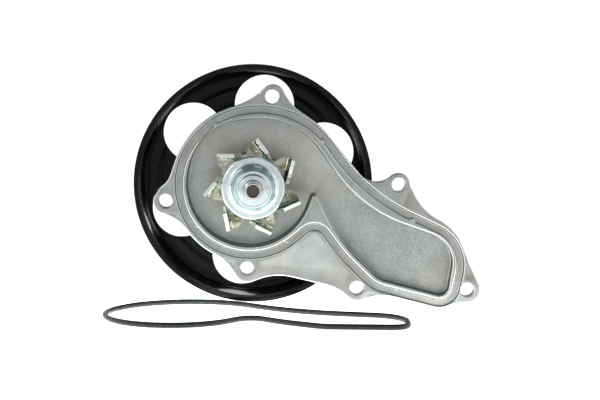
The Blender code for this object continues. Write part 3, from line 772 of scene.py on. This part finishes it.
def petal_section(front):
    """Section across a vane and its petal: upright sheet, bend, then the slightly crowned petal."""
    foot = PLATE_FRONT + SHEET
    centre = SHEET + BEND
    outer = [(0.0, front + 0.3), (-0.15, front + 0.5), (0.0, foot - centre)]
    inner = [(SHEET - 0.1, front), (SHEET + 0.05, front + 0.15), (SHEET, foot - centre)]
    for step in range(1, BEND_STEPS + 1):
        angle = math.radians(90.0 * step / BEND_STEPS)
        outer.append((centre - centre * math.cos(angle), foot - centre + centre * math.sin(angle)))
        inner.append((centre - BEND * math.cos(angle), foot - centre + BEND * math.sin(angle)))
    for step in range(1, CROWN_STEPS + 1):
        inward = CROWN_STEP * step
        fall = CROWN * inward ** 2
        outer.append((centre + inward, foot + fall))
        inner.append((centre + inward, PLATE_FRONT + fall))
    return outer + inner[::-1]


def petal(phase):
    """One vane and its petal as a single bent sheet, trimmed to the petal's outline."""
    tip = Vector(polar(VANE_TIP, phase))
    root = Vector(polar(VANE_ROOT, phase - VANE_SWEEP))
    length = (tip - root).length
    along = (tip - root).normalized()
    across = Vector((-along.y, along.x))
    low = petal_section(STEP_FRONT)
    high = petal_section(VANE_FRONT)
    places = [(-ROOT_REACH, low), (STEP_END - 0.2, low), (STEP_END, high)]
    stride = (length - STEP_END) / LENGTH_STEPS
    places += [(STEP_END + stride * step, high) for step in range(1, LENGTH_STEPS + 1)]
    rings = []
    for place, section in places:
        spots = [(root + along * place + across * inward, y) for inward, y in section]
        rings.append([(spot.x, y, spot.y) for spot, y in spots])
    strip = bmesh.new()
    loft(strip, rings)
    vane_side = (root - along * (ROOT_REACH + 1.0) - across, tip - across + along, tip + along)
    edge = [tuple(corner) for corner in vane_side]
    edge += [(*polar(radius, phase + degrees), rounding) for radius, degrees, rounding in PETAL_EDGE]
    border = soften(edge)
    prism = bmesh.new()
    loft(prism, [[(x, y, z) for x, z in border] for y in (-20.0, 6.0)])
    return carve(strip, ("INTERSECT", prism))


def lens(phase):
    """Small raised lens stamped into a petal."""
    x, z = polar(LENS_RADIUS, phase + LENS_TURN)
    turn = Matrix.Rotation(-math.radians(phase + LENS_TURN + 90.0), 4, "Y")
    shape = Matrix.Translation((x, PLATE_FRONT + 0.6, z)) @ turn @ Matrix.Diagonal((*LENS_SIZE, 1.0))
    bm = bmesh.new()
    bmesh.ops.create_uvsphere(bm, u_segments=32, v_segments=16, radius=1.0, matrix=shape)
    return bm


def vane_plate(finish):
    """Stamped plate of seven sloping petals, each bent up into a vane along one side."""
    phases = [VANE_PHASE + 360.0 * index / VANES for index in range(VANES)]
    front = PLATE_FRONT + 2 * SKIM
    back = PLATE_FRONT + SHEET - 2 * SKIM
    disc = turned((
        (PLATE_RADIUS, back), (PLATE_RADIUS, front), (SLOPE_START, front), (COLLAR_BORE, front),
        (COLLAR_BORE, back), (SLOPE_START, back),
    ), 112)
    bm = carve(
        disc, ("UNION", merged(*(petal(phase) for phase in phases))),
        ("UNION", merged(*(lens(phase) for phase in phases))),
    )
    for vert in bm.verts:
        reach = max(math.hypot(vert.co.x, vert.co.z) - SLOPE_START, 0.0)
        share = (vert.co.y - VANE_FRONT) / (PLATE_FRONT - VANE_FRONT)
        vert.co.y += PLATE_SLOPE * reach * min(max(share, 0.0), 1.0)
    piece("vane_plate", bm, finish, "impeller_vane_plate", sharp=28.0, edge=0.3)


FLARE_RADIUS = 13.2
FLARE_ACROSS = 3.9
FLARE_RISE = 6.6
FLARE_BACK = -11.9
FLARE_STEPS = 10


def hub_cup(finish):
    """Pressed hub: a rounded rim, a flared dish and a stepped collar round the shaft."""
    flare = []
    for step in range(FLARE_STEPS + 1):
        across, rise = polar(1.0, 90.0 * step / FLARE_STEPS)
        flare.append((FLARE_RADIUS - FLARE_ACROSS * rise, FLARE_BACK - FLARE_RISE * (1.0 - across)))
    piece("hub_cup", turned([
        (15.4, -4.0), (15.6, FLARE_BACK, 1.5), *flare, (9.0, -19.3, 0.8), (7.6, -19.2, 0.5),
        (6.9, -20.3, 0.4), (COLLAR_BORE, -20.8, 0.2), (COLLAR_BORE, -6.0), (7.4, -6.0, 0.5),
        (10.6, -10.0, 1.0), (14.0, -10.0, 1.0), (14.0, -4.0),
    ], 160), finish, "impeller_hub_cup")


# ---------------------------------------------------------------- shaft, bearing and seal

BALL_ROWS = (("front", 28.5), ("rear", 39.5))
BALL_PITCH = 7.9
BALL_RADIUS = 2.25
BALL_COUNT = 7
TRACK_RADIUS = 2.38
TRACK_HALF = 37.0
TRACK_STEPS = 8
CAGE_HALF = 3.1
POCKET_RADIUS = 2.45
POCKET_DEPTH = 5.0
SHAFT_RADIUS = 6.0
NECK_RADIUS = 4.6
RECESS_RADIUS = 3.1
SPRING_RADIUS = 12.6
SPRING_WIRE = 0.45
SPRING_FRONT = 11.5
SPRING_LENGTH = 6.0
SPRING_TURNS = 3
SPRING_STEPS = 40


def ball_track(y, outward):
    """Section points of a ball track from its +Y shoulder to its -Y shoulder."""
    points = []
    for step in range(TRACK_STEPS + 1):
        angle = math.radians(TRACK_HALF - 2 * TRACK_HALF * step / TRACK_STEPS)
        reach = outward * TRACK_RADIUS * math.cos(angle)
        points.append((BALL_PITCH + reach, y + TRACK_RADIUS * math.sin(angle)))
    return points


def pump_shaft(finish):
    """Shaft with both inner ball tracks, a stepped neck and a dished tapered end."""
    tracks = ball_track(BALL_ROWS[1][1], -1.0) + ball_track(BALL_ROWS[0][1], -1.0)
    section = [(0.0, 53.9), (2.2, 53.9), (2.6, 54.4, 0.1), (SHAFT_RADIUS, 54.4, 0.8)] + tracks
    section += [(SHAFT_RADIUS, -1.4, 0.2), (NECK_RADIUS, -1.9), (NECK_RADIUS, -22.0), (3.9, -28.5, 0.4)]
    section += [(RECESS_RADIUS, -28.4, 0.15), (RECESS_RADIUS, -27.0, 0.3), (0.0, -27.0)]
    piece("spindle", turned(section, 96, closed=False), finish, "pump_shaft")


def ball_row(name, y, finishes):
    """One row of balls in its cage."""
    front = y - CAGE_HALF
    back = y + CAGE_HALF
    pockets = []
    for index in range(BALL_COUNT):
        x, z = polar(BALL_PITCH, 360.0 * index / BALL_COUNT)
        place = Matrix.Translation((x, y, z))
        aim = Vector((x, 0.0, z)).to_track_quat("Z", "Y").to_matrix().to_4x4()
        pockets.append(bmesh.new())
        bmesh.ops.create_cone(
            pockets[-1], cap_ends=True, segments=32, radius1=POCKET_RADIUS, radius2=POCKET_RADIUS,
            depth=POCKET_DEPTH, matrix=place @ aim,
        )
        ball = bmesh.new()
        bmesh.ops.create_uvsphere(ball, u_segments=32, v_segments=20, radius=BALL_RADIUS, matrix=place)
        piece(f"steel_ball_{name}_{index + 1}", ball, finishes["ball_steel"], f"ball_{name}_{index + 1}")
    wall = turned(((9.3, back, 0.3), (9.3, front, 0.3), (7.0, front, 0.3), (7.0, back, 0.3)), 84)
    cage = carve(wall, ("DIFFERENCE", merged(*pockets)))
    piece(f"cage_{name}", cage, finishes["cage_polymer"], f"ball_cage_{name}")


def bearing(finishes):
    """Outer ring, two rows of balls in their cages, and both end seals."""
    inner = ball_track(BALL_ROWS[0][1], 1.0)[::-1] + ball_track(BALL_ROWS[1][1], 1.0)[::-1]
    section = [(13.0, 45.8, 0.6), (13.0, 22.3, 0.6), (11.6, 22.3, 0.15), (11.6, 23.9), (9.8, 23.9)]
    section += inner + [(9.8, 44.2), (11.6, 44.2), (11.6, 45.8, 0.15)]
    piece("outer_race", turned(section, 96), finishes["ground_steel"], "bearing_outer_ring")
    for name, y in (("front", 22.6), ("rear", 44.3)):
        lip = ((11.5, y + 1.2, 0.2), (11.5, y, 0.2), (6.1, y, 0.1), (6.1, y + 0.5, 0.1), (8.5, y + 1.2, 0.3))
        piece(f"end_seal_{name}", turned(lip, 96), finishes["black_rubber"], f"bearing_seal_{name}")
    for name, y in BALL_ROWS:
        ball_row(name, y, finishes)


def coil():
    """The face seal's spring: a round wire along a helix."""
    rings = []
    total = SPRING_TURNS * SPRING_STEPS
    for step in range(total + 1):
        ring = []
        for side in range(0, 360, 36):
            across, along = polar(SPRING_WIRE, side)
            x, z = polar(SPRING_RADIUS + across, 360.0 * step / SPRING_STEPS)
            ring.append((x, SPRING_FRONT + SPRING_LENGTH * step / total + along, z))
        rings.append(ring)
    wire = bmesh.new()
    loft(wire, rings)
    return wire


def mechanical_seal(finishes):
    """Face seal: case, bellows, spring, carbon ring and turning mating ring."""
    piece("seal_cup", turned((
        (17.0, 14.2, 0.2), (14.9, 14.2, 0.3), (14.9, 19.3, 0.5), (8.0, 19.3, 0.2), (8.0, 18.4, 0.2),
        (14.0, 18.4, 0.3), (14.0, 13.3, 0.5), (17.0, 13.3, 0.2),
    ), 96), finishes["ground_steel"], "seal_case")
    piece("rubber_bellows", turned((
        (9.9, 6.5, 0.2), (9.9, 8.7, 0.5), (11.5, 10.3, 0.6), (9.6, 12.2, 0.6), (11.6, 14.4, 0.6),
        (11.8, 18.1, 0.2), (10.8, 18.1, 0.2), (10.6, 15.0, 0.5), (8.6, 12.2, 0.6), (10.2, 10.3, 0.6),
        (8.8, 8.7, 0.5), (8.8, 6.5, 0.2),
    ), 96), finishes["black_rubber"], "seal_bellows")
    piece("carbon_face", turned((
        (10.4, 6.3, 0.2), (10.4, 4.0), (9.6, 2.9, 0.1), (7.6, 2.9, 0.1), (7.6, 6.3, 0.2),
    ), 96), finishes["carbon"], "seal_carbon_ring")
    piece("ceramic_face", turned((
        (11.2, 2.8, 0.3), (11.2, -1.2, 0.3), (6.1, -1.2, 0.2), (6.1, 2.8, 0.2),
    ), 96), finishes["ceramic"], "seal_mating_ring")
    piece("coil_spring", coil(), finishes["ground_steel"], "seal_spring")


def weep_plug(finish):
    """Small disc in the mouth of the weep hole."""
    bm = turned((
        (0.0, -PLUG_HALF), (PLUG_RADIUS, -PLUG_HALF, 0.25), (PLUG_RADIUS, PLUG_HALF, 0.25), (0.0, PLUG_HALF),
    ), 32, closed=False)
    bmesh.ops.rotate(bm, matrix=Matrix.Rotation(math.pi / 2, 3, "X"), verts=bm.verts)
    bmesh.ops.translate(bm, vec=(0.0, WEEP_Y, PLUG_Z), verts=bm.verts)
    piece("vent_plug", bm, finish, "weep_hole_plug")


# ---------------------------------------------------------------- pulley

RIM = 60.0
LIP_FRONT = 15.0
WEB_FRONT = 42.5
WEB_SHEET = 2.5
DISH_BACK = 53.0
DISH_FRONT = DISH_BACK - WEB_SHEET
WEB_STEP = 1.5
STEP_RADII = (47.4, 49.0)
WEB_HOLES = 6
WEB_HOLE_RADIUS = 15.3
WEB_HOLE_PITCH = 39.5
WEB_HOLE_PHASE = 21.3
HOLE_SIDES = 72
HUB_RADIUS = 18.0
HUB_FRONT = 46.6
HUB_BACK = 54.2
PILOT_RADIUS = 9.0
BOLTS = 4
BOLT_PITCH = 14.2
BOLT_PHASE = 45.0
BOLT_CENTRES = [polar(BOLT_PITCH, BOLT_PHASE + 360.0 * index / BOLTS) for index in range(BOLTS)]
BOLT_FRONT = 46.9
BOLT_RADIUS = 2.8
BOLT_FLANGE = 4.9
HEXAGON_RADIUS = 4.6


def web_face(radius):
    """Y of the web's front face at a distance from the axis: it steps towards the engine near the rim."""
    start, end = STEP_RADII
    share = min(max((radius - start) / (end - start), 0.0), 1.0)
    return WEB_FRONT - WEB_STEP * share


def pulley(finish):
    """Pressed-steel cup with a rolled lip, a dished centre and six round holes in its web."""
    back = WEB_FRONT + WEB_SHEET
    step = WEB_FRONT - WEB_STEP
    cup = turned((
        (9.1, DISH_BACK, 0.3), (20.8, DISH_BACK, 1.6), (23.6, back, 1.2), (47.0, back, 1.5),
        (48.6, back - WEB_STEP, 1.5), (58.6, back - WEB_STEP, 2.2), (RIM, back - 3.6, 0.6),
        (RIM, back - 5.4, 0.5), (RIM - 1.0, back - 6.4, 0.5), (RIM - 1.0, LIP_FRONT + 3.0, 0.5),
        (RIM, LIP_FRONT + 2.0, 0.5), (RIM, LIP_FRONT, 0.45), (RIM - 2.3, LIP_FRONT, 0.3),
        (RIM - 2.4, LIP_FRONT + 1.1, 0.4), (RIM - 3.1, LIP_FRONT + 2.2, 0.9), (RIM - 3.3, step, 4.0),
        (STEP_RADII[1], step, 1.2), (STEP_RADII[0], WEB_FRONT, 1.2), (21.2, WEB_FRONT, 1.2),
        (19.0, DISH_FRONT, 1.5), (9.1, DISH_FRONT, 0.3),
    ), 192)
    tools = []
    for index in range(WEB_HOLES):
        x, z = polar(WEB_HOLE_PITCH, WEB_HOLE_PHASE + 360.0 * index / WEB_HOLES)
        rings = []
        for grow, depth in ((0.9, -0.25), (0.15, 0.12), (0.0, 0.4), (0.0, 2.1), (0.15, 2.38), (0.9, 2.75)):
            ring = []
            for side in range(HOLE_SIDES):
                dx, dz = polar(WEB_HOLE_RADIUS + grow, 360.0 * side / HOLE_SIDES)
                y = web_face(math.hypot(x + dx, z + dz)) + depth
                ring.append((x + dx, y, z + dz))
            rings.append(ring)
        rings.insert(0, [(x, WEB_FRONT - 4.0, z) for x, _, z in rings[0]])
        rings.append([(x, WEB_FRONT + 6.0, z) for x, _, z in rings[-1]])
        hole = bmesh.new()
        loft(hole, rings)
        tools.append(hole)
    drill = ((0.0, 49.0), (3.2, 49.0), (3.2, 55.0), (0.0, 55.0))
    tools += [turned(drill, 32, centre, closed=False) for centre in BOLT_CENTRES]
    piece("belt_pulley", carve(cup, ("DIFFERENCE", merged(*tools))), finish, "pulley")


def flange_bolt(x, z):
    """A bolt with a hexagon head on a round flange, and a dimple in the head."""
    head = DISH_BACK + 0.1
    shank = turned((
        (0.0, head + 1.1), (4.4, head + 1.2, 0.3), (BOLT_FLANGE, head, 0.15), (BOLT_RADIUS, head),
        (BOLT_RADIUS, BOLT_FRONT + 0.4), (BOLT_RADIUS - 0.4, BOLT_FRONT), (0.0, BOLT_FRONT),
    ), 48, (x, z), closed=False)
    rings = []
    for inset, rise in ((0.0, 0.5), (0.0, 4.5), (0.25, 4.9), (0.7, 5.0)):
        ring = [polar(HEXAGON_RADIUS - inset, 60.0 * corner) for corner in range(6)]
        rings.append([(x + dx, head + rise, z + dz) for dx, dz in ring])
    block = bmesh.new()
    loft(block, rings)
    hollow = ((0.0, head + 4.3), (2.4, head + 4.3, 0.3), (3.3, head + 5.5), (0.0, head + 5.5))
    return carve(shank, ("UNION", block), ("DIFFERENCE", turned(hollow, 32, (x, z), closed=False)))


def pulley_hub(finishes):
    """Pressed-on hub and the four bolts that hold the pulley to it."""
    face = DISH_FRONT - 0.3
    bore = SHAFT_RADIUS + 0.04
    seat = turned((
        (HUB_RADIUS, face, 0.4), (HUB_RADIUS, HUB_FRONT, 0.8), (bore, HUB_FRONT, 0.3), (bore, HUB_BACK, 0.3),
        (PILOT_RADIUS, HUB_BACK, 0.6), (PILOT_RADIUS, face),
    ), 96)
    drill = ((0.0, 45.0), (3.0, 45.0), (3.0, 55.0), (0.0, 55.0))
    holes = merged(*(turned(drill, 32, centre, closed=False) for centre in BOLT_CENTRES))
    piece("drive_flange", carve(seat, ("DIFFERENCE", holes)), finishes["ground_steel"], "pulley_hub")
    for number, (x, z) in enumerate(BOLT_CENTRES, 1):
        piece(f"flange_bolt_{number}", flange_bolt(x, z), finishes["bright_zinc"], f"pulley_bolt_{number}")


# ---------------------------------------------------------------- seal ring

CORD_RADIUS = 1.35
CORD_OFFSET = 2.9
CORD_SIDES = 20
RING_PLACE = (-35.5, -22.5)
RING_YAW = 9.35


def seal_ring(finish):
    """Moulded rubber ring lying on the floor."""
    rings = []
    for side in range(CORD_SIDES):
        across, high = polar(CORD_RADIUS, 360.0 * side / CORD_SIDES)
        rings.append([(x, high, z) for x, z in outline(TRACK, CORD_OFFSET + across)])
    bm = bmesh.new()
    loft(bm, rings, closed=True)
    lay = Matrix.Rotation(math.radians(RING_YAW), 4, "Z") @ Matrix.Rotation(-math.pi / 2, 4, "X")
    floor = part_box("housing_seal_ring")[0].z / MM
    place = Matrix.Translation((*RING_PLACE, floor + CORD_RADIUS))
    bmesh.ops.transform(bm, matrix=place @ lay, verts=bm.verts)
    piece("moulded_ring", bm, finish, "housing_seal_ring")


# ---------------------------------------------------------------- studio

CAMERA_LENS = 97.44
CAMERA_PLACE = (0.001, -0.8, 0.066)
CAMERA_DOWN = 5.2
CAMERA_RIGHT = 1.59
TABLE_RADIUS = 6.0
TABLE_GAP = 0.00005


def camera():
    """A long lens a little above the shaft, turned slightly to the right and down."""
    data = bpy.data.cameras.new("camera")
    data.lens = CAMERA_LENS
    data.sensor_width = 36.0
    data.clip_end = 20.0
    obj = bpy.data.objects.new("camera", data)
    obj.location = CAMERA_PLACE
    obj.rotation_euler = (math.radians(90.0 - CAMERA_DOWN), 0.0, -math.radians(CAMERA_RIGHT))
    bpy.context.scene.collection.objects.link(obj)
    bpy.context.scene.camera = obj


def floor():
    """A wide white table that glows, as a light table does: most under the pump, least far in front."""
    bm = bmesh.new()
    bmesh.ops.create_circle(bm, cap_ends=True, segments=96, radius=TABLE_RADIUS)
    mesh = bpy.data.meshes.new("table")
    bm.to_mesh(mesh)
    bm.free()
    obj = bpy.data.objects.new("table", mesh)
    obj.location = (0.0, 0.0, cad_box[0].z - TABLE_GAP)
    made = Finish("table_white", metallic=0.0, Roughness=0.6, Emission_Color=(1.0, 1.0, 1.0, 1.0))
    made.colour(made.mix(made.noise(60.0), (0.1, 0.1, 0.1), (0.12, 0.12, 0.12)))
    # brightest from 10 mm before the engine face to 60 mm behind it
    rising = made.span(made.part("Y"), -0.08, -0.01, 0.0, 1.7)
    falling = made.span(made.part("Y"), 0.14, 0.06)
    under = made.maths("MULTIPLY", rising, falling)
    rest = made.span(made.part("Y"), -0.45, -0.205, 0.5, 0.98)
    made.link(made.maths("ADD", under, rest), made.shader.inputs["Emission Strength"])
    mesh.materials.append(made.material)
    bpy.context.scene.collection.objects.link(obj)


def sky():
    """A surround that is white behind and at the sides, greyer in front and dark overhead."""
    world = bpy.data.worlds.new("studio")
    bpy.context.scene.world = world
    world.use_nodes = True
    nodes = Nodes(world.node_tree)
    background = world.node_tree.nodes["Background"]
    way = nodes.node("ShaderNodeSeparateXYZ")
    nodes.link(nodes.node("ShaderNodeTexCoord").outputs["Generated"], way.inputs["Vector"])
    behind = nodes.span(way.outputs["Y"], -0.1, 0.35, 0.58, 1.05)
    sides = nodes.span(nodes.maths("ABSOLUTE", way.outputs["X"]), 0.3, 0.9, 0.58, 1.05)
    overhead = nodes.span(way.outputs["Z"], 0.5, 0.85, 1.0, 0.1)
    level = nodes.maths("MULTIPLY", nodes.maths("MAXIMUM", behind, sides), overhead)
    nodes.link(level, background.inputs["Strength"])
    nodes.link(nodes.mix(overhead, (0.5, 0.9, 0.9), (1.0, 1.0, 1.0)), background.inputs["Color"])


def softbox(name, place, aim, size, power):
    """A rectangular area light aimed at a point."""
    data = bpy.data.lights.new(name, "AREA")
    data.shape = "RECTANGLE"
    data.size, data.size_y = size
    data.energy = power
    obj = bpy.data.objects.new(name, data)
    obj.location = place
    obj.rotation_euler = (Vector(aim) - Vector(place)).to_track_quat("-Z", "Y").to_euler()
    bpy.context.scene.collection.objects.link(obj)


def studio():
    camera()
    floor()
    sky()
    softbox("left", place=(-0.95, -1.3, 0.62), aim=(0.0, 0.0, 0.0), size=(0.45, 0.3), power=2.0)
    bpy.context.scene.view_settings.view_transform = "Standard"


# ---------------------------------------------------------------- build

record = frame["record"]
BODY_OF = {node: body for body, nodes in record["behaviour"]["bodies"].items() for node in nodes}

studio()
FINISHES = {
    make.__name__: make()
    for make in (
        cast_aluminium, bright_zinc, yellow_zinc, black_paint, black_rubber, ground_steel, shaft_steel,
        ball_steel, carbon, ceramic, cage_polymer,
    )
}
pump_housing(FINISHES["cast_aluminium"])
vane_plate(FINISHES["yellow_zinc"])
hub_cup(FINISHES["bright_zinc"])
pump_shaft(FINISHES["shaft_steel"])
bearing(FINISHES)
mechanical_seal(FINISHES)
weep_plug(FINISHES["bright_zinc"])
pulley(FINISHES["black_paint"])
pulley_hub(FINISHES)
seal_ring(FINISHES["black_rubber"])
